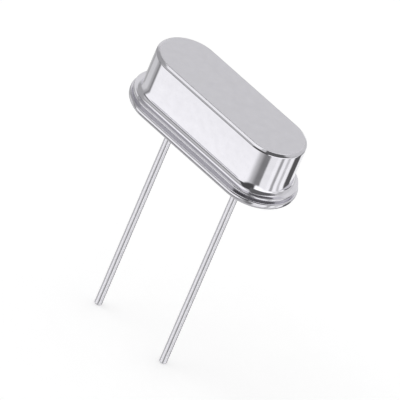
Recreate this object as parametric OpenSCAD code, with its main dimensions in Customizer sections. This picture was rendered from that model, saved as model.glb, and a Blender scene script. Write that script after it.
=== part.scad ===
// Low-profile two-lead quartz crystal in a resistance-welded metal can.
// Millimetres. The origin is the middle of the seating face, where the base meets
// the circuit board. +Z points up through the can and +X runs along its length.
// The two leads point down, along -Z.

/* [Can] */
// Outside length of the can's walls
can_len = 9.75; // [9.2:0.05:12]
// Outside width of the can's walls
can_w = 3.54; // [3.2:0.02:5]
// Height of the can's top above the seating face
can_top_z = 3.28; // [2.9:0.02:13.5]
// Thickness of the sheet that the can is drawn from
sheet_t = 0.2; // [0.17:0.01:0.35]
// Outside radius of the coined edge between the top and the walls
top_edge_r = 0.18; // [0.1:0.01:0.35]
// Inside radius of the same edge
top_in_r = 0.05; // [0.03:0.01:0.3]
// Outside radius of the bend between the walls and the flange
root_bend_r = 0.25; // [0.1:0.01:0.26]

/* [Flange] */
// How far the base's flange stands out past the can's walls
flange_overhang = 0.48; // [0.46:0.01:0.8]
// How far the can's flange stops short of the base's flange
flange_setback = 0.1; // [0.06:0.01:0.11]
// Thickness of the base's flange
base_flange_t = 0.45; // [0.41:0.01:0.6]
// Radius on the lower edge of the base's flange
base_under_r = 0.3; // [0.1:0.01:0.3]
// Radius on the upper edge of the base's flange
base_edge_r = 0.1; // [0.05:0.01:0.1]
// Radius on the edges of the can's flange
can_edge_r = 0.08; // [0.03:0.01:0.08]
// Height of the weld ridge, which keeps the two flanges apart
seam_gap = 0.08; // [0.03:0.01:0.12]
// Width of the weld ridge
ridge_w = 0.08; // [0.06:0.01:0.12]
// Depth of the groove between the flanges, from the base's edge to the ridge
seam_depth = 0.18; // [0.18:0.01:0.21]

/* [Header] */
// Height of the base's raised middle above the seating face
plateau_z = 1.0; // [0.8:0.05:1.2]
// Gap between the raised middle and the inside of the can
plateau_gap = 0.12; // [0.05:0.01:0.3]
// Width of the bevel round the raised middle
plateau_bevel = 0.08; // [0.03:0.01:0.2]
// Diameter of the two holes that the glass fills
eyelet_d = 1.3; // [1:0.05:1.6]
// How far the glass stops below each face of the base
glass_recess = 0.06; // [0.02:0.01:0.15]
// How far the glass climbs the lead above that
glass_meniscus = 0.05; // [0.02:0.01:0.1]

/* [Leads] */
// Distance between the centres of the two leads
lead_pitch = 4.88; // [4.4:0.02:5.4]
// Diameter of the tinned part of each lead
lead_d = 0.43; // [0.3:0.01:0.6]
// Thickness of the coat of tin on the wire
tin_t = 0.01; // [0.005:0.001:0.02]
// Gap between the coat of tin and the seating face
tin_gap = 0.1; // [0.05:0.01:0.5]
// Length of each lead below the seating face
lead_len = 12.8; // [3:0.1:20]
// Radius on the cut end of each lead
lead_tip_r = 0.08; // [0.03:0.01:0.14]
// Diameter of the flattened head inside the can
head_d = 0.9; // [0.7:0.05:1.2]
// Thickness of the flattened head
head_t = 0.12; // [0.08:0.01:0.2]
// Gap between the base's raised middle and the head
head_gap = 0.2; // [0.12:0.01:0.4]

/* [Crystal] */
// Room between each clip's back and the inside of the can's end
end_room = 0.66; // [0.3:0.01:1]
// Width of the quartz strip
blank_w = 1.9; // [1.5:0.05:2.2]
// Thickness of the quartz strip, which sets its frequency
blank_t = 0.14; // [0.06:0.01:0.3]
// Thickness of the silver film on the quartz
film_t = 0.02; // [0.01:0.005:0.04]
// Length of the silver area in the middle of each face
pad_len = 4.4; // [2:0.1:5.2]
// Width of the silver area in the middle of each face
pad_w = 1.4; // [1:0.05:1.45]
// Width of the silver track that leads to the end of the quartz
track_w = 0.8; // [0.4:0.05:0.9]
// How far the track carries on under the quartz after turning over its end
track_wrap = 0.7; // [0.4:0.05:1]

/* [Clips] */
// Thickness of the spring strip
clip_t = 0.1; // [0.06:0.01:0.15]
// Width of the spring strip
clip_w = 1.3; // [1:0.05:1.6]
// Length of the foot that is welded to the lead's head
foot_len = 0.8; // [0.6:0.05:0.9]
// Height of the clip's shelf above its foot
shelf_rise = 0.45; // [0.3:0.05:0.7]
// Length of the shelf under the end of the quartz
shelf_len = 0.6; // [0.5:0.05:0.7]
// Length of the lip over the end of the quartz
lip_len = 0.45; // [0.3:0.05:0.6]
// Gap between the quartz and the clip's back and lip
clip_gap = 0.05; // [0.03:0.01:0.1]
// Radius of each dot of adhesive
dot_r = 0.42; // [0.25:0.01:0.45]
// Height of each dot of adhesive above the quartz
dot_h = 0.3; // [0.2:0.01:0.4]

/* [Hidden] */
$fn = 96;
// A small amount by which cuts run past the faces that they open
cut = 0.1;

// Distances out from the spine, the straight line that joins the centres of the two ends
can_r = can_w / 2;
spine = can_len - can_w;
can_in_r = can_r - sheet_t;
base_r = can_r + flange_overhang;
can_flange_r = base_r - flange_setback;
ridge_out_r = base_r - seam_depth;
plateau_r = can_in_r - plateau_gap;
root_in_r = root_bend_r + sheet_t;

// Heights
can_flange_z = base_flange_t + seam_gap;
can_flange_top_z = can_flange_z + sheet_t;
head_z = plateau_z + head_gap;
foot_z = head_z + head_t;
shelf_z = foot_z + shelf_rise;
film_z = shelf_z + clip_t;
blank_z = film_z + film_t;
blank_top_z = blank_z + blank_t;
lip_z = blank_top_z + film_t + clip_gap;

// Places along X
lead_x = lead_pitch / 2;
wire_r = lead_d / 2 - tin_t;
clip_back_x = can_len / 2 - sheet_t - end_room;
film_end_x = clip_back_x - clip_t - clip_gap;
blank_len = 2 * (film_end_x - film_t);

// Unit vector from p to q, and the unit vector to its left
function heading(p, q) = (q - p) / norm(q - p);
function left_of(u) = [-u[1], u[0]];

// The point of a bent strip's other face that lies across from corner i of its path
function across(path, i, t) =
    let (last = len(path) - 1,
         n_in = left_of(heading(path[max(i - 1, 0)], path[max(i, 1)])),
         n_out = left_of(heading(path[min(i, last - 1)], path[min(i + 1, last)])))
    path[i] + t * (n_in + n_out) / (1 + n_in * n_out);

// The outline of a strip of thickness t that lies to the left of its path
function strip(path, t) =
    concat(path, [for (i = [len(path) - 1 : -1 : 0]) across(path, i, t)]);

// Sweeps a profile round the oblong plan of the can. The profile's x is the distance
// out from the spine and its y is the height.
module oblong() {
    for (side = [-1, 1])
        translate([side * spine / 2, 0, 0])
            rotate([0, 0, -90 * side])
                rotate_extrude(angle = 180) children();
    for (side = [0, 1])
        mirror([0, side, 0])
            rotate([90, 0, 90])
                linear_extrude(height = spine, center = true) children();
}

// A flat profile from the spine out to r, between two heights, with its lower and upper
// outer corners rounded
module plate_profile(r, low, high, low_r, high_r) {
    difference() {
        translate([0, low]) square([r, high - low]);
        translate([r - low_r, low - cut]) square(low_r + cut);
        translate([r - high_r, high - high_r]) square(high_r + cut);
    }
    intersection() {
        translate([r - low_r, low + low_r]) circle(r = low_r);
        translate([r - low_r, low]) square(low_r);
    }
    intersection() {
        translate([r - high_r, high - high_r]) circle(r = high_r);
        translate([r - high_r, high - high_r]) square(high_r);
    }
}

// A profile from the spine out to r with only its upper corner rounded
module block_profile(r, low, high, edge_r) {
    translate([0, low]) square([r, high - low - edge_r]);
    translate([0, low]) square([r - edge_r, high - low]);
    translate([r - edge_r, high - edge_r]) circle(r = edge_r);
}

// The material that fills the inside of a bend of radius bend_r, whose wall stands
// at r on a floor at z
module bend_profile(r, z, bend_r) {
    difference() {
        translate([r - cut, z - cut]) square(bend_r + cut);
        translate([r + bend_r, z + bend_r]) circle(r = bend_r);
        translate([r + bend_r, z - 2 * cut]) square(bend_r + 2 * cut);
    }
}

// Drawn cover: a top, walls and an out-turned flange of one sheet
module can() {
    color("gainsboro")
    oblong()
        difference() {
            union() {
                block_profile(can_r, can_flange_z, can_top_z, top_edge_r);
                plate_profile(can_flange_r, can_flange_z, can_flange_top_z, can_edge_r, can_edge_r);
                bend_profile(can_r, can_flange_top_z, root_bend_r);
            }
            union() {
                block_profile(can_in_r, can_flange_z, can_top_z - sheet_t, top_in_r);
                translate([0, can_flange_z - cut]) square([can_in_r, 2 * cut]);
                bend_profile(can_in_r, can_flange_z, root_in_r);
            }
        }
}

// Stamped header: a flange with a weld ridge on it, and a raised middle with two holes
module base() {
    color("silver")
    difference() {
        oblong() {
            plate_profile(base_r, 0, base_flange_t, base_under_r, base_edge_r);
            translate([ridge_out_r - ridge_w, base_flange_t - cut]) square([ridge_w, seam_gap + cut]);
            square([plateau_r, plateau_z - plateau_bevel]);
            translate([0, plateau_z - plateau_bevel])
                polygon([[0, 0], [plateau_r, 0], [plateau_r - plateau_bevel, plateau_bevel],
                         [0, plateau_bevel]]);
        }
        for (side = [-1, 1])
            translate([side * lead_x, 0, -cut])
                cylinder(d = eyelet_d, h = plateau_z + 2 * cut);
    }
}

// Glass bead fused between a lead and the hole in the base
module glass_seal(side) {
    low = glass_recess;
    high = plateau_z - glass_recess;
    color("darkslategray")
    translate([side * lead_x, 0, 0])
        rotate_extrude()
            polygon([[wire_r, low - glass_meniscus], [eyelet_d / 2, low],
                     [eyelet_d / 2, high], [wire_r, high + glass_meniscus]]);
}

// Lead wire: a tinned length with a slightly rounded cut end below the base, then the
// bare wire through the glass, with a flattened head on its inner end
module lead(side) {
    color("lightgray")
    translate([side * lead_x, 0, 0])
        rotate_extrude() {
            translate([0, lead_tip_r - lead_len])
                square([lead_d / 2, lead_len - lead_tip_r - tin_gap]);
            translate([0, -lead_len])
                square([lead_d / 2 - lead_tip_r, 2 * lead_tip_r]);
            translate([lead_d / 2 - lead_tip_r, lead_tip_r - lead_len])
                circle(r = lead_tip_r);
            translate([0, -2 * tin_gap])
                square([wire_r, 2 * tin_gap + head_z + head_t / 2]);
            translate([0, head_z])
                square([head_d / 2, head_t]);
        }
}

// Spring strip: a foot on the lead's head, a sloping arm, and a hook round the quartz
module spring_clip(side) {
    path = [[lead_x - foot_len / 2, foot_z],
            [lead_x + foot_len / 2, foot_z],
            [film_end_x - shelf_len, shelf_z],
            [clip_back_x, shelf_z],
            [clip_back_x, lip_z + clip_t],
            [film_end_x - lip_len, lip_z + clip_t]];
    color("goldenrod")
    mirror([side < 0 ? 1 : 0, 0, 0])
        rotate([90, 0, 0])
            linear_extrude(height = clip_w, center = true)
                polygon(strip(path, clip_t));
}

// Thin strip of quartz
module quartz_blank() {
    color("aliceblue")
    translate([-blank_len / 2, -blank_w / 2, blank_z])
        cube([blank_len, blank_w, blank_t]);
}

// Silver film: a wide area on one face, a track to the right-hand end, and the track's
// turn over that end onto the other face. It is drawn for the lower face.
module silver_film() {
    translate([-pad_len / 2, -pad_w / 2, film_z])
        cube([pad_len, pad_w, film_t]);
    translate([0, -track_w / 2, film_z])
        cube([film_end_x, track_w, film_t]);
    translate([film_end_x - film_t, -track_w / 2, film_z])
        cube([film_t, track_w, blank_t + 2 * film_t]);
    translate([film_end_x - track_wrap, -track_w / 2, blank_top_z])
        cube([track_wrap, track_w, film_t]);
}

module electrode_bottom() {
    color("whitesmoke") silver_film();
}

// The same film turned over about the middle of the quartz, so it runs to the left
module electrode_top() {
    middle_z = blank_z + blank_t / 2;
    color("whitesmoke")
    translate([0, 0, middle_z])
        rotate([0, 180, 0])
            translate([0, 0, -middle_z])
                silver_film();
}

// Dot of silver-filled adhesive that bonds the clip's lip to the quartz and its film
module adhesive_dot(side) {
    ball_r = (dot_r * dot_r + dot_h * dot_h) / (2 * dot_h);
    color("darkgray")
    difference() {
        translate([side * (film_end_x - lip_len), 0, blank_top_z])
            rotate_extrude()
                intersection() {
                    translate([0, dot_h - ball_r]) circle(r = ball_r);
                    square([dot_r, dot_h]);
                }
        spring_clip(side);
        electrode_top();
        electrode_bottom();
    }
}

can();
base();
glass_seal(-1);  // glass_seal_left
glass_seal(1);  // glass_seal_right
lead(-1);  // lead_left
lead(1);  // lead_right
spring_clip(-1);  // spring_clip_left
spring_clip(1);  // spring_clip_right
quartz_blank();
electrode_top();
electrode_bottom();
adhesive_dot(-1);  // adhesive_dot_left
adhesive_dot(1);  // adhesive_dot_right
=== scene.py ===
import math

import bpy
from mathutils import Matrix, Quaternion, Vector


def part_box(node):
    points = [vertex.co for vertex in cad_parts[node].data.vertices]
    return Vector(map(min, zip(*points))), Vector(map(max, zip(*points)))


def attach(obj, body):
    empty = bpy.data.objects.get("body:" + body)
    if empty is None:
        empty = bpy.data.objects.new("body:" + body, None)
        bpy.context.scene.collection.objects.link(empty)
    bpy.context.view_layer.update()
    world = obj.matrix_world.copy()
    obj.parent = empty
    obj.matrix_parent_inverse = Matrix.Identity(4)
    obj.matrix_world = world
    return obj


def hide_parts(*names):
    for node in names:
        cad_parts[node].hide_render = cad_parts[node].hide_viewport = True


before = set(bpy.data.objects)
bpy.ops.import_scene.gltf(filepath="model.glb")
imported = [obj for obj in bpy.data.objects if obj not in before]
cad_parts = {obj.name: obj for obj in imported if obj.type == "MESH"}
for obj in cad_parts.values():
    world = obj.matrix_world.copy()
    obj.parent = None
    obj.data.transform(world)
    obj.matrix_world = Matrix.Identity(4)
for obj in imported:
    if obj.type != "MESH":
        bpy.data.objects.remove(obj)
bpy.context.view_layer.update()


# ---- Base ----------------------------------------------------------------------------
# The header that the crystal is built on: a stamped steel plate, bright nickel plated,
# with a rounded flange, a weld ridge on the flange and a raised middle that stands
# inside the can. Two eyelets are punched through it for the leads.
mm = 0.001
base_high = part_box("base")[1]
base_r = base_high.y
spine = 2 * (base_high.x - base_high.y)
base_flange_t = 0.45 * mm
base_under_r = 0.3 * mm
base_edge_r = 0.07 * mm
ridge_out_r = base_r - 0.18 * mm
ridge_in_r = ridge_out_r - 0.08 * mm
ridge_z = base_flange_t + 0.08 * mm
plateau_r = 1.45 * mm
plateau_bevel = 0.08 * mm
plateau_root_r = 0.05 * mm
lead_x = 2.44 * mm
eyelet_r = 0.65 * mm
punch_depth = 4 * mm
# A point is held this far beside each bend, so that the flat next to it shades flat
hold = 0.01 * mm


def pressed(corners, steps=10):
    """The outline of pressed metal through corners of (distance out, height, bend radius)."""
    outline = []
    for i, (out, height, bend) in enumerate(corners):
        corner = Vector((out, height))
        if not bend:
            outline.append(corner)
            continue
        back = (Vector(corners[i - 1][:2]) - corner).normalized()
        onward = (Vector(corners[i + 1][:2]) - corner).normalized()
        half = back.angle(onward) / 2
        centre = corner + (back + onward).normalized() * bend / math.sin(half)
        start = corner + back * bend / math.tan(half)
        end = corner + onward * bend / math.tan(half)
        turn = math.pi - 2 * half
        outline.append(start + back * hold)
        for k in range(steps + 1):
            outline.append(centre + ((start - centre) * math.sin(turn * (1 - k / steps))
                                     + (end - centre) * math.sin(turn * k / steps)) / math.sin(turn))
        outline.append(end + onward * hold)
    return outline


def place(tree, kind, feeds=None, **options):
    """Adds a node with its options, and feeds its inputs: a socket is linked, a value is set."""
    node = tree.nodes.new(kind)
    for key, value in options.items():
        setattr(node, key, value)
    for key, feed in (feeds or {}).items():
        if isinstance(feed, bpy.types.NodeSocket):
            tree.links.new(feed, node.inputs[key])
        else:
            node.inputs[key].default_value = feed
    return node


def sums(tree, operation, *feeds):
    """A Math node's result."""
    return place(tree, "ShaderNodeMath", dict(enumerate(feeds)), operation=operation).outputs[0]


def ranged(tree, value, start=(0.0, 1.0), end=(0.0, 1.0), kind="LINEAR"):
    """A value brought from its range at the start to the one at the end."""
    return place(tree, "ShaderNodeMapRange", {
        "Value": value, "From Min": start[0], "From Max": start[1],
        "To Min": end[0], "To Max": end[1]}, interpolation_type=kind).outputs[0]


def vector(tree, **parts):
    """A vector from its X, Y and Z, of which those left out are zero."""
    return place(tree, "ShaderNodeCombineXYZ", parts).outputs[0]


def axes(tree, where):
    """The X, Y and Z of a vector."""
    return place(tree, "ShaderNodeSeparateXYZ", {"Vector": where}).outputs


def added(tree, one, other):
    """Two vectors together."""
    return place(tree, "ShaderNodeVectorMath", {0: one, 1: other}, operation="ADD").outputs[0]


def scaled(tree, one, size):
    """A vector times a number."""
    return place(tree, "ShaderNodeVectorMath", {0: one, "Scale": size}, operation="SCALE").outputs[0]


def noted(tree, geometry, label, value):
    """A geometry that keeps a vector for each point under a name."""
    return place(tree, "GeometryNodeStoreNamedAttribute", {
        "Geometry": geometry, "Name": label, "Value": value},
        data_type="FLOAT_VECTOR", domain="POINT").outputs[0]


def new_tree(name, inputs):
    """A Geometry Nodes tree that takes a geometry and the named inputs, and a material."""
    tree = bpy.data.node_groups.new(name, "GeometryNodeTree")
    tree.interface.new_socket("Geometry", in_out="INPUT", socket_type="NodeSocketGeometry")
    for label, kind in {**inputs, "Material": "NodeSocketMaterial"}.items():
        tree.interface.new_socket(label, in_out="INPUT", socket_type=kind)
    tree.interface.new_socket("Geometry", in_out="OUTPUT", socket_type="NodeSocketGeometry")
    return tree, tree.nodes.new("NodeGroupInput").outputs


def end_tree(tree, given, geometry, crease=math.radians(32)):
    """Shades the surface smooth except over its creases, realises it and gives it its material."""
    smooth = place(tree, "GeometryNodeSetShadeSmooth", {"Geometry": geometry, "Shade Smooth": True},
                   domain="FACE")
    angle = place(tree, "GeometryNodeInputMeshEdgeAngle")
    sharp = sums(tree, "GREATER_THAN", angle.outputs["Unsigned Angle"], crease)
    creased = place(tree, "GeometryNodeSetShadeSmooth", {
        "Geometry": smooth.outputs[0], "Selection": sharp, "Shade Smooth": False}, domain="EDGE")
    real = place(tree, "GeometryNodeRealizeInstances", {"Geometry": creased.outputs[0]})
    finished = place(tree, "GeometryNodeSetMaterial", {
        "Geometry": real.outputs[0], "Material": given["Material"]})
    place(tree, "NodeGroupOutput", {"Geometry": finished.outputs[0]})
    return tree


# Sweeps an outline round the oblong plan: half a turn round the centre of each end, with
# the two halves joined by straight sides. With no spine it turns the outline like a lathe.
tree, given = new_tree("Oblong sweep", {
    "Spine": "NodeSocketFloat", "Centre X": "NodeSocketFloat", "Hold": "NodeSocketFloat",
    "Steps": "NodeSocketInt"})
half_count = sums(tree, "ADD", given["Steps"], 3)
index = place(tree, "GeometryNodeInputIndex").outputs[0]
left_end = sums(tree, "FLOOR", sums(tree, "DIVIDE", sums(tree, "ADD", index, 0.5), half_count))
step = sums(tree, "SUBTRACT", sums(tree, "SUBTRACT", index, 1),
            sums(tree, "MULTIPLY", left_end, half_count))
part = sums(tree, "DIVIDE", step, given["Steps"])
turned = place(tree, "ShaderNodeClamp", {"Value": part, "Min": 0, "Max": 1}).outputs[0]
angle = sums(tree, "MULTIPLY", sums(tree, "ADD", sums(tree, "SUBTRACT", turned, 0.5), left_end), math.pi)
outward = vector(tree, X=sums(tree, "COSINE", angle), Y=sums(tree, "SINE", angle))
# The first and last point of each half are held a little way along the straight sides
beside = sums(tree, "GREATER_THAN", sums(tree, "ABSOLUTE", sums(tree, "SUBTRACT", part, 0.5)), 0.5001)
reach = sums(tree, "SUBTRACT", sums(tree, "DIVIDE", given["Spine"], 2),
             sums(tree, "MULTIPLY", beside, given["Hold"]))
right_or_left = sums(tree, "SUBTRACT", 1, sums(tree, "MULTIPLY", left_end, 2))
centre = vector(tree, X=sums(tree, "ADD", given["Centre X"], sums(tree, "MULTIPLY", reach, right_or_left)))
track = place(tree, "GeometryNodeMeshLine", {"Count": sums(tree, "MULTIPLY", half_count, 2)}).outputs[0]
track = noted(tree, noted(tree, track, "sweep_centre", centre), "sweep_outward", outward)
track = place(tree, "GeometryNodeSetPosition", {
    "Geometry": track, "Position": added(tree, centre, outward)}).outputs[0]
track = place(tree, "GeometryNodeMeshToCurve", {"Mesh": track}).outputs[0]
track = place(tree, "GeometryNodeSetSplineCyclic", {"Geometry": track, "Cyclic": True}).outputs[0]
outline = noted(tree, given["Geometry"], "sweep_outline", place(
    tree, "GeometryNodeInputPosition").outputs[0])
outline = place(tree, "GeometryNodeMeshToCurve", {"Mesh": outline}).outputs[0]
swept = place(tree, "GeometryNodeCurveToMesh", {"Curve": track, "Profile Curve": outline}).outputs[0]
# Each point is put where its notes say, so that no bend of the track shears the outline
kept = {label: place(tree, "GeometryNodeInputNamedAttribute", {"Name": label},
                     data_type="FLOAT_VECTOR").outputs[0]
        for label in ("sweep_centre", "sweep_outward", "sweep_outline")}
point = axes(tree, kept["sweep_outline"])
put = added(tree, kept["sweep_centre"], added(
    tree, scaled(tree, kept["sweep_outward"], point["X"]), vector(tree, Z=point["Z"])))
swept = place(tree, "GeometryNodeSetPosition", {"Geometry": swept, "Position": put}).outputs[0]
swept = place(tree, "GeometryNodeMergeByDistance", {"Geometry": swept, "Distance": 2e-7}).outputs[0]
swept = place(tree, "GeometryNodeRemoveAttribute", {
    "Geometry": swept, "Name": "sweep_*"}, pattern_mode="WILDCARD").outputs[0]
oblong_sweep = end_tree(tree, given, swept)


def add_tree(piece, tree, **values):
    """Puts a tree on a piece as a modifier and sets its inputs by their sockets' identifiers."""
    modifier = piece.modifiers.new(tree.name, "NODES")
    modifier.node_group = tree
    for item in tree.interface.items_tree:
        key = item.name.replace(" ", "_").lower()
        if item.in_out == "INPUT" and key in values:
            modifier[item.identifier] = values[key]
    piece.update_tag()


def settle(piece):
    """Turns what the piece's modifiers make into its own plain mesh."""
    view = bpy.context.evaluated_depsgraph_get()
    mesh = bpy.data.meshes.new_from_object(piece.evaluated_get(view), depsgraph=view)
    piece.modifiers.clear()
    piece.data = mesh
    mesh.name = piece.name


def turned_piece(name, corners, material, spine=0.0, centre_x=0.0, closed=False, steps=48):
    """An object whose mesh is the outline, with the sweep on it that makes it solid. The
    outline is put in clockwise order, so that the solid's faces look outward."""
    outline = pressed(corners)
    if sum(a.cross(b) for a, b in zip(outline, outline[1:] + outline[:1])) > 0:
        outline.reverse()
    edges = [(i, i + 1) for i in range(len(outline) - 1)] + ([(len(outline) - 1, 0)] if closed else [])
    mesh = bpy.data.meshes.new(name)
    mesh.from_pydata([(p.x, 0, p.y) for p in outline], edges, [])
    piece = bpy.data.objects.new(name, mesh)
    bpy.context.collection.objects.link(piece)
    add_tree(piece, oblong_sweep, spine=spine, centre_x=centre_x, hold=hold if spine else 0.0,
             steps=steps, material=material)
    return piece


def new_material(name, **constants):
    """A material with one Principled shader, whose constant values are set on its own sockets."""
    material = bpy.data.materials.new(name)
    material.use_nodes = True
    tree = material.node_tree
    shader = tree.nodes["Principled BSDF"]
    for label, value in constants.items():
        shader.inputs[label.replace("_", " ")].default_value = value
    return material, tree, shader


def mixed(tree, factor, dark, light):
    """A colour between two."""
    return place(tree, "ShaderNodeMix", {"Factor": factor, 6: dark, 7: light},
                 data_type="RGBA").outputs[2]


def surface(tree, shader, colour, rough, relief, depth):
    """Feeds a shader its colour, its roughness and the bumps of a relief of this depth."""
    bump = place(tree, "ShaderNodeBump", {"Height": relief, "Distance": depth}).outputs[0]
    for label, feed in (("Base Color", colour), ("Roughness", rough), ("Normal", bump)):
        tree.links.new(feed, shader.inputs[label])


# Plated sheet: slow patches from the plating bath, and a fine grain from the rolled sheet
plate_finish = bpy.data.node_groups.new("Plate finish", "ShaderNodeTree")
for label, kind in (("Vector", "Vector"), ("Patch Scale", "Float"), ("Grain Scale", "Float")):
    plate_finish.interface.new_socket(label, in_out="INPUT", socket_type="NodeSocket" + kind)
for label in ("Patches", "Grain"):
    plate_finish.interface.new_socket(label, in_out="OUTPUT", socket_type="NodeSocketFloat")
given = plate_finish.nodes.new("NodeGroupInput").outputs
patches = place(plate_finish, "ShaderNodeTexNoise", {
    "Vector": given["Vector"], "Scale": given["Patch Scale"], "Detail": 3.0, "Roughness": 0.5})
grain = place(plate_finish, "ShaderNodeTexNoise", {
    "Vector": given["Vector"], "Scale": given["Grain Scale"], "Detail": 2.0, "Roughness": 0.6})
place(plate_finish, "NodeGroupOutput", {"Patches": patches.outputs[0], "Grain": grain.outputs[0]})


def plated(name, dark, light, rough, patch_scale, grain_scale, grain_height):
    """Bright plate, whose colour and gloss drift with the patches over a fine grain."""
    material, tree, shader = new_material(name, Metallic=1.0)
    finish = place(tree, "ShaderNodeGroup", {
        "Vector": place(tree, "ShaderNodeTexCoord").outputs["Object"],
        "Patch Scale": patch_scale, "Grain Scale": grain_scale}, node_tree=plate_finish).outputs
    surface(tree, shader, mixed(tree, finish["Patches"], dark, light),
            ranged(tree, finish["Patches"], (0.3, 0.7), rough), relief=finish["Grain"],
            depth=grain_height)
    return material, tree, shader


base_metal = plated("base_nickel", (0.80, 0.79, 0.835, 1), (0.87, 0.86, 0.905, 1), rough=(0.09, 0.16),
                    patch_scale=2500, grain_scale=14000, grain_height=1.2e-6)[0]

# Punches the two eyelets through the header
tree, given = new_tree("Eyelets", {
    "Pitch": "NodeSocketFloat", "Radius": "NodeSocketFloat", "Depth": "NodeSocketFloat"})
punch = place(tree, "GeometryNodeMeshCylinder", {
    "Vertices": 72, "Radius": given["Radius"], "Depth": given["Depth"]}).outputs[0]
cut_geometry = given["Geometry"]
for side in (-0.5, 0.5):
    shift = vector(tree, X=sums(tree, "MULTIPLY", given["Pitch"], side))
    moved = place(tree, "GeometryNodeTransform", {"Geometry": punch, "Translation": shift}).outputs[0]
    cut_geometry = place(tree, "GeometryNodeMeshBoolean", {
        "Mesh 1": cut_geometry, "Mesh 2": moved}, operation="DIFFERENCE", solver="EXACT").outputs[0]
eyelets = end_tree(tree, given, cut_geometry)

base = turned_piece("header", [
    (0, 0, 0), (base_r, 0, base_under_r), (base_r, base_flange_t, base_edge_r),
    (ridge_out_r, base_flange_t, 0), (ridge_out_r, ridge_z, 0), (ridge_in_r, ridge_z, 0),
    (ridge_in_r, base_flange_t, 0), (plateau_r, base_flange_t, plateau_root_r),
    (plateau_r, base_high.z - plateau_bevel, 0), (plateau_r - plateau_bevel, base_high.z, 0),
    (0, base_high.z, 0)], base_metal, spine=spine)
add_tree(base, eyelets, pitch=2 * lead_x, radius=eyelet_r, depth=punch_depth, material=base_metal)
settle(base)
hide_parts("base")
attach(base, "root")


# ---- Glass seals ---------------------------------------------------------------------
# A bead of dark sealing glass fills each eyelet and grips the lead. It is fused in a
# furnace, so its two faces sag between the metal and climb a little up the lead.
glass_low, glass_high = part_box("glass_seal_right")
wire_r = 0.205 * mm
glass_lift = 0.05 * mm
glass_sag = 0.015 * mm
face_steps = 8

seal_glass, tree, shader = new_material(
    "sealing_glass", Metallic=0.0, IOR=1.52, Specular_IOR_Level=0.5)
where = place(tree, "ShaderNodeTexCoord").outputs["Object"]
bubbles = place(tree, "ShaderNodeTexVoronoi", {"Vector": where, "Scale": 9000.0}).outputs["Distance"]
cloud = place(tree, "ShaderNodeTexNoise", {"Vector": where, "Scale": 3000.0, "Detail": 3.0}).outputs[0]
surface(tree, shader, mixed(tree, cloud, (0.008, 0.013, 0.012, 1), (0.03, 0.042, 0.038, 1)),
        ranged(tree, bubbles, (0.0, 0.5), (0.16, 0.05)), relief=cloud, depth=3e-6)

for side, name in ((-1, "left"), (1, "right")):
    face = []
    for k in range(face_steps + 1):
        across = k / face_steps
        up = glass_lift * (1 - across) ** 2 - glass_sag * math.sin(math.pi * across)
        face.append((wire_r + (eyelet_r - wire_r) * across, up))
    low = [(r, glass_low.z + glass_lift - up, 0) for r, up in face]
    high = [(r, glass_high.z - glass_lift + up, 0) for r, up in reversed(face)]
    bead = turned_piece("seal_" + name, low + high, seal_glass, centre_x=side * lead_x, closed=True)
    settle(bead)
    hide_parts("glass_seal_" + name)
    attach(bead, "root")


# ---- Leads ---------------------------------------------------------------------------
# Round wire of an iron-nickel-cobalt alloy that glass bonds to, upset into a flat head
# inside the can. Outside it is dipped in solder, which freezes in slight waves.
lead_low, lead_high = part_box("lead_right")
lead_r = 0.215 * mm
tip_r = 0.08 * mm
tin_top = -0.1 * mm
head_r = 0.45 * mm
head_t = 0.12 * mm
head_edge_r = 0.03 * mm
# The rings of points along the tinned wire, and the waves that move them
tin_ring_count = 84
tin_ring_low = lead_low.z + 0.2 * mm
tin_ring_high = tin_top - 0.02 * mm
wave_depth = 0.012 * mm
wave_low = lead_low.z + 0.1 * mm
wave_high = tin_top - 0.01 * mm

tinned, tree, shader = new_material("tinned_wire", Metallic=1.0)
where = place(tree, "ShaderNodeTexCoord").outputs["Object"]
drawn = place(tree, "ShaderNodeMapping", {"Vector": where, "Scale": (1.0, 1.0, 0.06)}).outputs[0]
streaks = place(tree, "ShaderNodeTexNoise", {"Vector": drawn, "Scale": 14000.0, "Detail": 3.0}).outputs[0]
frost = place(tree, "ShaderNodeTexNoise", {"Vector": where, "Scale": 5000.0, "Detail": 4.0}).outputs[0]
surface(tree, shader, mixed(tree, frost, (0.80, 0.79, 0.83, 1), (0.93, 0.92, 0.965, 1)),
        ranged(tree, frost, (0.3, 0.7), (0.16, 0.28)), relief=streaks, depth=3e-6)

# Slight waves in the solder, which only ever sink below the wire's full width
tree, given = new_tree("Solder waves", {
    "Depth": "NodeSocketFloat", "Scale": "NodeSocketFloat", "Top": "NodeSocketFloat",
    "Bottom": "NodeSocketFloat", "Seed": "NodeSocketFloat"})
where = place(tree, "GeometryNodeInputPosition").outputs[0]
height = axes(tree, where)["Z"]
dipped = sums(tree, "MULTIPLY", sums(tree, "LESS_THAN", height, given["Top"]),
              sums(tree, "GREATER_THAN", height, given["Bottom"]))
wave = place(tree, "ShaderNodeTexNoise", {
    "Vector": where, "W": given["Seed"], "Scale": given["Scale"], "Detail": 2.0},
    noise_dimensions="4D").outputs[0]
sink = sums(tree, "MULTIPLY", sums(tree, "MULTIPLY", wave, given["Depth"]), -1.0)
waved = place(tree, "GeometryNodeSetPosition", {
    "Geometry": given["Geometry"], "Selection": dipped, "Offset": scaled(
        tree, place(tree, "GeometryNodeInputNormal").outputs[0], sink)}).outputs[0]
solder_waves = end_tree(tree, given, waved)

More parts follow.
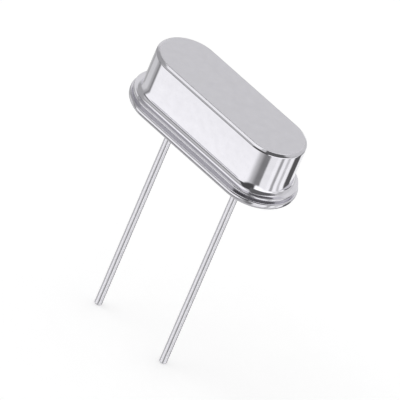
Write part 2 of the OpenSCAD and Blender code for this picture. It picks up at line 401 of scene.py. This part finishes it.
for side, name in ((-1, "left"), (1, "right")):
    tin_rings = [(lead_r, tin_ring_low + (tin_ring_high - tin_ring_low) * k / tin_ring_count, 0)
                 for k in range(tin_ring_count + 1)]
    corners = [(0, lead_low.z, 0), (lead_r, lead_low.z, tip_r)] + tin_rings + [
        (lead_r, tin_top, 0), (wire_r, tin_top, 0), (wire_r, lead_high.z - head_t, 0),
        (head_r, lead_high.z - head_t, head_edge_r), (head_r, lead_high.z, head_edge_r),
        (0, lead_high.z, 0)]
    lead = turned_piece("lead_wire_" + name, corners, tinned, centre_x=side * lead_x, steps=20)
    add_tree(lead, solder_waves, depth=wave_depth, scale=1400.0, top=wave_high, bottom=wave_low,
             seed=side + 3.0, material=tinned)
    settle(lead)
    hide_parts("lead_" + name)
    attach(lead, "root")


# ---- Spring clips --------------------------------------------------------------------
# Two strips of thin rolled spring alloy, bent so that each holds an end of the quartz.
# Each is spot welded to the head of its lead and keeps the lines of the rolling mill.
def dress(material, *nodes):
    """Gives the CAD solids their finish."""
    for name in nodes:
        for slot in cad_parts[name].material_slots:
            slot.material = material


clip_metal, tree, shader = new_material("rolled_spring_strip", Metallic=1.0)
where = place(tree, "ShaderNodeTexCoord").outputs["Object"]
rolled = place(tree, "ShaderNodeMapping", {"Vector": where, "Scale": (0.08, 1.0, 0.3)}).outputs[0]
lines = place(tree, "ShaderNodeTexNoise", {"Vector": rolled, "Scale": 30000.0, "Detail": 3.0}).outputs[0]
stain = place(tree, "ShaderNodeTexNoise", {"Vector": where, "Scale": 2500.0, "Detail": 3.0}).outputs[0]
surface(tree, shader, mixed(tree, stain, (0.66, 0.60, 0.50, 1), (0.80, 0.76, 0.68, 1)),
        ranged(tree, lines, end=(0.2, 0.42)), relief=lines, depth=1.5e-6)
dress(clip_metal, "spring_clip_left", "spring_clip_right")


# ---- Quartz --------------------------------------------------------------------------
# The resonator: a thin strip sawn from clear quartz and lapped to the thickness that
# sets its frequency. Lapping leaves it clear with a fine, even frost.
quartz, tree, shader = new_material(
    "lapped_quartz", Metallic=0.0, IOR=1.55, Transmission_Weight=0.9)
where = place(tree, "ShaderNodeTexCoord").outputs["Object"]
lapping = place(tree, "ShaderNodeTexNoise", {"Vector": where, "Scale": 40000.0, "Detail": 2.0}).outputs[0]
cloud = place(tree, "ShaderNodeTexNoise", {"Vector": where, "Scale": 1800.0, "Detail": 3.0}).outputs[0]
surface(tree, shader, mixed(tree, cloud, (0.90, 0.93, 0.95, 1), (0.97, 0.98, 0.99, 1)),
        ranged(tree, lapping, end=(0.18, 0.34)), relief=lapping, depth=0.6e-6)
dress(quartz, "quartz_blank")


# ---- Electrodes ----------------------------------------------------------------------
# A silver film on each face of the quartz, evaporated through a mask. It follows the
# lapped face below it, so it is bright but not quite a mirror, and tarnishes in patches.
silver = plated("silver_film", (0.84, 0.82, 0.77, 1), (0.95, 0.94, 0.92, 1), rough=(0.16, 0.28),
                patch_scale=1600, grain_scale=40000, grain_height=0.5e-6)[0]
dress(silver, "electrode_top", "electrode_bottom")


# ---- Adhesive dots -------------------------------------------------------------------
# A dot of epoxy filled with silver flakes bonds each clip to the quartz and its film.
# It is cured in an oven, which leaves it grey and matt with flakes near the surface.
adhesive, tree, shader = new_material("silver_filled_adhesive")
where = place(tree, "ShaderNodeTexCoord").outputs["Object"]
cells = place(tree, "ShaderNodeTexVoronoi", {"Vector": where, "Scale": 26000.0}).outputs["Distance"]
flake = ranged(tree, cells, (0.15, 0.45), (1.0, 0.0))
surface(tree, shader, mixed(tree, flake, (0.30, 0.30, 0.295, 1), (0.62, 0.62, 0.61, 1)),
        ranged(tree, flake, end=(0.62, 0.4)), relief=flake, depth=4e-6)
tree.links.new(ranged(tree, flake, end=(0.1, 0.8)), shader.inputs["Metallic"])
dress(adhesive, "adhesive_dot_left", "adhesive_dot_right")


# ---- Can -----------------------------------------------------------------------------
# The cover: one blank of thin sheet, drawn into an oblong cup with an out-turned flange and bright
# nickel plated. The punch leaves the top satin, with a narrow sloping land round it, and the drawn
# walls mirror bright. It is resistance welded to the header's ridge all round.
can_low, can_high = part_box("can")
sheet_t = 0.2 * mm
can_r = 1.77 * mm
can_in_r = can_r - sheet_t
can_flange_r = base_r - 0.1 * mm
can_flange_top = can_low.z + sheet_t
top_in_r = 0.05 * mm
# The flange, sheared from below, and its bend up into the wall
burr_r = 0.05 * mm
die_roll_r = 0.13 * mm
flange_rise = 0.015 * mm
root_bend_r = 0.23 * mm
# The sloping land round the top, and the bends on either side of it
land_in = 0.17 * mm
land_down = 0.11 * mm
land_top_r = 0.16 * mm
land_side_r = 0.12 * mm
# The spread foot of the wall, and the rings of points that let it bend
foot_rise = 0.6 * mm
foot_reach = 0.12 * mm
foot_tip_share = 0.3
foot_play = 0.01 * mm
foot_ring_count = 10
foot_ring_low = 0.27 * mm
# The finish: height of the grain, and what the satin top adds in roughness and scatter
wall_grain, flange_grain = 0.5e-6, 1.8e-6
satin_rough = 0.25
satin_scatter = 0.4

can_metal, tree, shader = plated("can_nickel", (0.80, 0.79, 0.835, 1), (0.925, 0.914, 0.962, 1),
                                 rough=(0.05, 0.11), patch_scale=2200, grain_scale=12000,
                                 grain_height=wall_grain)
height = axes(tree, place(tree, "ShaderNodeTexCoord").outputs["Object"])["Z"]
# Painted light and shade on the walls: their colour is lighter near the flange and darker towards the top,
# standing in for the gradient of the reflections up the wall
painted_wall_shading = ranged(tree, height, (can_flange_top, can_high.z), (1.035, 0.965))
plate_colour = shader.inputs["Base Color"].links[0].from_socket
tree.links.new(scaled(tree, plate_colour, painted_wall_shading), shader.inputs["Base Color"])
# The welding electrode pressed on the flange, whose grain is coarser for it
coarser = ranged(tree, height, (can_flange_top + 0.1 * mm, can_flange_top + 0.3 * mm),
                 (flange_grain, wall_grain))
tree.links.new(coarser, shader.inputs["Normal"].links[0].from_node.inputs["Distance"])
# The punch left the top matt: it is rougher than the walls, and scatters part of the light
satin = ranged(tree, height, (can_high.z - 0.02 * mm, can_high.z - 0.002 * mm), kind="SMOOTHSTEP")
wall_rough = shader.inputs["Roughness"].links[0].from_socket
tree.links.new(sums(tree, "ADD", wall_rough, sums(tree, "MULTIPLY", satin, satin_rough)),
               shader.inputs["Roughness"])
tree.links.new(sums(tree, "SUBTRACT", 1.0, sums(tree, "MULTIPLY", satin, satin_scatter)),
               shader.inputs["Metallic"])

# The wall spreads at its foot where the straight sides turn into the round ends, because
# the drawn metal gathered there
tree, given = new_tree("End foot", {
    "Spine": "NodeSocketFloat", "Wall": "NodeSocketFloat", "Edge": "NodeSocketFloat",
    "Foot": "NodeSocketFloat", "Rise": "NodeSocketFloat", "Reach": "NodeSocketFloat",
    "Tip Share": "NodeSocketFloat", "Play": "NodeSocketFloat"})
point = axes(tree, place(tree, "GeometryNodeInputPosition").outputs[0])
past_end = sums(tree, "MAXIMUM", sums(tree, "SUBTRACT", sums(tree, "ABSOLUTE", point["X"]),
                                      sums(tree, "DIVIDE", given["Spine"], 2)), 0.0)
spoke = vector(tree, X=sums(tree, "MULTIPLY", past_end, sums(tree, "SIGN", point["X"])), Y=point["Y"])
out = place(tree, "ShaderNodeVectorMath", {0: spoke}, operation="LENGTH").outputs["Value"]
outward = place(tree, "ShaderNodeVectorMath", {0: spoke}, operation="NORMALIZE").outputs[0]
share = sums(tree, "DIVIDE", past_end, given["Wall"])
round_end = sums(tree, "MULTIPLY", ranged(tree, share, (0.0, 0.5), kind="SMOOTHSTEP"), ranged(
    tree, share, (0.6, 0.95), (1.0, given["Tip Share"]), kind="SMOOTHSTEP"))
near_foot = ranged(tree, point["Z"], (sums(tree, "ADD", given["Foot"], given["Rise"]), given["Foot"]))
near_wall = ranged(tree, out, (given["Edge"], given["Wall"]))
outer_skin = sums(
    tree, "MULTIPLY",
    sums(tree, "GREATER_THAN", out, sums(tree, "SUBTRACT", given["Wall"], given["Play"])),
    sums(tree, "GREATER_THAN", point["Z"], sums(tree, "SUBTRACT", given["Foot"], given["Play"])))
spread = sums(
    tree, "MULTIPLY",
    sums(tree, "MULTIPLY", sums(tree, "POWER", near_foot, 2.0),
         sums(tree, "MULTIPLY", round_end, near_wall)),
    sums(tree, "MULTIPLY", outer_skin, given["Reach"]))
spread_foot = place(tree, "GeometryNodeSetPosition", {
    "Geometry": given["Geometry"], "Offset": scaled(tree, outward, spread)}).outputs[0]
end_foot = end_tree(tree, given, spread_foot)

foot_rings = [(can_r, can_flange_top + foot_ring_low
               + (foot_rise - foot_ring_low) * (1 - k / foot_ring_count), 0)
              for k in range(foot_ring_count + 1)]
can = turned_piece("can_cover", [
    (0, can_high.z, 0), (can_r - land_in, can_high.z, land_top_r),
    (can_r, can_high.z - land_down, land_side_r)] + foot_rings + [
    (can_r, can_flange_top + flange_rise, root_bend_r),
    (can_flange_r, can_flange_top, burr_r), (can_flange_r, can_low.z, die_roll_r),
    (can_in_r, can_low.z, root_bend_r + sheet_t), (can_in_r, can_high.z - sheet_t, top_in_r),
    (0, can_high.z - sheet_t, 0)], can_metal, spine=spine)
add_tree(can, end_foot, spine=spine, wall=can_r, edge=can_flange_r, foot=can_flange_top,
         rise=foot_rise, reach=foot_reach, tip_share=foot_tip_share, play=foot_play, material=can_metal)
settle(can)
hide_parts("can")
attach(can, "root")


# ---- Studio --------------------------------------------------------------------------
# The crystal stands on its leads on a white table inside a light tent. The table and
# the tent are white to the camera; the metal sees the tent's panels and their gaps.
table_half = 0.4
table_glow = 0.38
tent_cloth = 0.62
floor_mesh = bpy.data.meshes.new("table_top")
floor_mesh.from_pydata([(x * table_half, y * table_half, lead_low.z)
                        for x, y in ((-1, -1), (1, -1), (1, 1), (-1, 1))], [], [(0, 1, 2, 3)])
table_top = bpy.data.objects.new("table_top", floor_mesh)
bpy.context.collection.objects.link(table_top)
table_top.visible_glossy = False
paper, tree, shader = new_material("white_paper", Roughness=0.9, Specular_IOR_Level=0.1)
fibres = place(tree, "ShaderNodeTexNoise", {
    "Vector": place(tree, "ShaderNodeTexCoord").outputs["Object"],
    "Scale": 900.0, "Detail": 3.0}).outputs[0]
tree.links.new(mixed(tree, fibres, (0.90, 0.90, 0.90, 1), (0.93, 0.93, 0.93, 1)),
               shader.inputs["Base Color"])
shader.inputs["Emission Color"].default_value = (1, 1, 1, 1)
seen = place(tree, "ShaderNodeLightPath").outputs["Is Camera Ray"]
tree.links.new(sums(tree, "MULTIPLY", seen, table_glow), shader.inputs["Emission Strength"])
floor_mesh.materials.append(paper)

lamp = bpy.data.lights.new("soft_lamp", "AREA")
lamp.shape, lamp.size, lamp.energy = "DISK", 0.25, 0.14
lamp_stand = bpy.data.objects.new("soft_lamp", lamp)
bpy.context.collection.objects.link(lamp_stand)
lamp_stand.location = (-0.16, -0.1, 0.3)
lamp_stand.rotation_mode = "QUATERNION"
lamp_stand.rotation_quaternion = (-lamp_stand.location).to_track_quat("-Z", "Y")
lamp_stand.visible_glossy = False

# One panel or gap of the tent, laid over the ones before it: a soft-edged patch of the
# directions that a surface can mirror, in degrees round from -Y and up from level
tree = bpy.data.node_groups.new("Tent panel", "ShaderNodeTree")
for label in ("Below", "Round", "Up", "Middle", "Half Width", "Low", "High", "Softness", "Level"):
    tree.interface.new_socket(label, in_out="INPUT", socket_type="NodeSocketFloat")
tree.interface.new_socket("Level", in_out="OUTPUT", socket_type="NodeSocketFloat")
given = tree.nodes.new("NodeGroupInput").outputs
away = sums(tree, "ABSOLUTE", sums(tree, "WRAP", sums(
    tree, "SUBTRACT", given["Round"], given["Middle"]), 180.0, -180.0))
mask = 1.0
for inside_by in (sums(tree, "SUBTRACT", given["Half Width"], away),
                  sums(tree, "SUBTRACT", given["Up"], given["Low"]),
                  sums(tree, "SUBTRACT", given["High"], given["Up"])):
    mask = sums(tree, "MULTIPLY", mask, ranged(
        tree, sums(tree, "DIVIDE", inside_by, given["Softness"]), (-0.5, 0.5), kind="SMOOTHSTEP"))
change = sums(tree, "MULTIPLY", mask, sums(tree, "SUBTRACT", given["Level"], given["Below"]))
place(tree, "NodeGroupOutput", {"Level": sums(tree, "ADD", given["Below"], change)})
tent_panel = tree

world = bpy.data.worlds.new("light_tent")
bpy.context.scene.world = world
world.use_nodes = True
tree = world.node_tree
direction = axes(tree, place(tree, "ShaderNodeTexCoord").outputs["Generated"])
to_degrees = 180 / math.pi
round_from_front = sums(tree, "MULTIPLY", sums(tree, "ARCTAN2", direction["X"], sums(
    tree, "MULTIPLY", direction["Y"], -1.0)), to_degrees)
up_from_level = sums(tree, "MULTIPLY", sums(tree, "ARCSINE", direction["Z"]), to_degrees)
tent_level = tent_cloth
for middle, half_width, low, high, softness, level in (
        # the table, and what lies on it or stops short of it
        (0, 181, -91, -6, 12, 1.0),
        (-20, 180, -91, -54, 12, 0.50),
        (-40, 70, -56, -43, 8, 0.10),
        (-96, 34, -60, -6, 12, 0.66),
        (-115, 8, -60, -6, 12, 0.42),
        (-66, 9, -60, -6, 12, 0.42),
        (-61, 4, -60, -6, 6, 0.25),
        (34, 22, -60, -20, 20, 0.50),
        (42, 15, -60, -20, 16, 0.22),
        (62, 12, -60, -6, 6, 0.9),
        (92.5, 5, -60, -6, 6, 0.38),
        (116, 5, -60, -6, 6, 0.60),
        (154, 16, -60, -6, 8, 0.10),
        (-144, 16, -60, -6, 8, 0.50),
        # the tent's walls and its open side, where the camera stands
        (-30, 32, -18, 8, 8, 0.20),
        (-35, 36, 8, 60, 10, 0.38),
        (-30, 20, 6, 38, 8, 0.55),
        (12, 28, -22, 54, 8, 0.07),
        (68, 30, -20, 8, 8, 1.2),
        (75, 50, 12, 91, 8, 0.12),
        (112, 14, -20, 30, 10, 0.75),
        (126, 12, 0, 40, 10, 0.50),
        (-88, 27, -20, 58, 14, 0.38),
        (-135, 18, -10, 30, 14, 0.72),
        (-150, 40, 20, 46, 12, 0.71),
        (-124, 9, 36, 60, 6, 0.20),
        # the lamp overhead
        (-76, 62, 59, 91, 6, 1.0),
        (170, 34, 57, 86, 8, 1.0),
        (-126, 28, 46, 74, 8, 0.25)):
    tent_level = place(tree, "ShaderNodeGroup", {
        "Below": tent_level, "Round": round_from_front, "Up": up_from_level, "Middle": middle,
        "Half Width": half_width, "Low": low, "High": high, "Softness": softness,
        "Level": level}, node_tree=tent_panel).outputs["Level"]
rays = place(tree, "ShaderNodeLightPath").outputs
mirrored = sums(tree, "MAXIMUM", rays["Is Glossy Ray"], rays["Is Transmission Ray"])
lit = place(tree, "ShaderNodeMix", {"Factor": mirrored, 2: tent_cloth, 3: tent_level}).outputs[0]
shown = place(tree, "ShaderNodeMix", {"Factor": rays["Is Camera Ray"], 2: lit, 3: 1.0}).outputs[0]
background = tree.nodes["Background"]
background.inputs["Color"].default_value = (1, 1, 1, 1)
tree.links.new(shown, background.inputs["Strength"])

# The camera stands half a metre away, above and to the right of the long side. It aims
# below the can, at the upper part of the leads, and is rolled so that the can leans
camera_round, camera_up, camera_roll = math.radians(29.8), math.radians(35.5), math.radians(23.4)
camera_far = 500 * mm
aim = Vector((1.308, -1.114, -2.266)) * mm
camera = bpy.data.cameras.new("camera")
camera.lens, camera.sensor_width = 892.5, 36.0
camera.clip_start, camera.clip_end = 0.05, 5.0
camera_stand = bpy.data.objects.new("camera", camera)
bpy.context.collection.objects.link(camera_stand)
to_camera = Vector((math.sin(camera_round) * math.cos(camera_up),
                    -math.cos(camera_round) * math.cos(camera_up), math.sin(camera_up)))
camera_stand.location = aim + to_camera * camera_far
camera_stand.rotation_mode = "QUATERNION"
camera_stand.rotation_quaternion = ((-to_camera).to_track_quat("-Z", "Y")
                                    @ Quaternion((0, 0, 1), camera_roll))
bpy.context.scene.camera = camera_stand
bpy.context.scene.view_settings.view_transform = "Standard"
